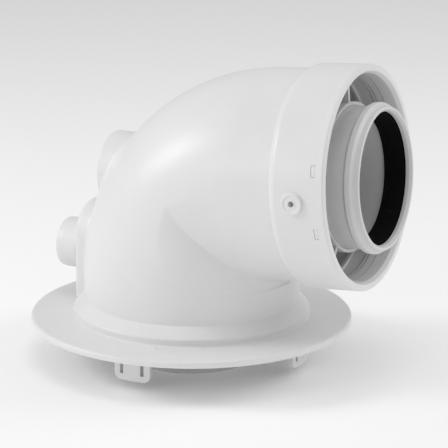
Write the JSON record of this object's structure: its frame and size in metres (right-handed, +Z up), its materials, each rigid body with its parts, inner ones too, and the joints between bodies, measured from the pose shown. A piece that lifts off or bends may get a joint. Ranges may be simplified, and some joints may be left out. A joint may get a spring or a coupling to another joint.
{
  "type": "flue elbow",
  "caption": "Concentric twin-wall boiler flue elbow turning just under a right angle, with round mounting flange, slotted locking lugs, sealed outlet socket and capped test points.",
  "frame": {"origin": "on the upright duct's axis, at the underside of the mounting flange, where the elbow stands on the boiler's flue outlet", "axes": "+Z up along the upright duct, +X towards the outlet, which rises 4 degrees; the test points face -X"},
  "size_m": [0.2394, 0.207, 0.2004],
  "materials": {
    "white_plastic": "semi-gloss moulded plastic with faint moulding marks",
    "flue_plastic": "satin moulded plastic",
    "black_rubber": "matt rubber",
    "grey_rubber": "matt silicone"
  },
  "bodies": {
    "elbow": {"mounting_flange": "white_plastic", "air_duct_elbow": "white_plastic", "socket_collar": "white_plastic", "seal_retainer_ring": "white_plastic", "air_test_nozzle": "white_plastic", "flue_elbow": "flue_plastic", "outlet_spacer": "flue_plastic", "base_spacer": "flue_plastic", "flue_test_nozzle": "flue_plastic", "flange_gasket": "black_rubber", "hub_seal_ring": "black_rubber", "collar_seal_ring": "black_rubber", "flue_lip_seal": "black_rubber", "air_test_seal_ring": "black_rubber", "flue_test_seal_ring": "black_rubber", "air_duct_seal": "grey_rubber"},
    "air_test_cap": {"air_test_cap": "white_plastic"},
    "flue_test_plug": {"flue_test_plug": "white_plastic"}
  },
  "joints": [
    {"name": "air_test_cap_off", "type": "slide", "parent": "elbow", "child": "air_test_cap", "axis": [-1, 0, 0], "range_m": [0, 0.03]},
    {"name": "flue_test_plug_off", "type": "slide", "parent": "elbow", "child": "flue_test_plug", "axis": [-1, 0, 0], "range_m": [0, 0.03]}
  ]
}
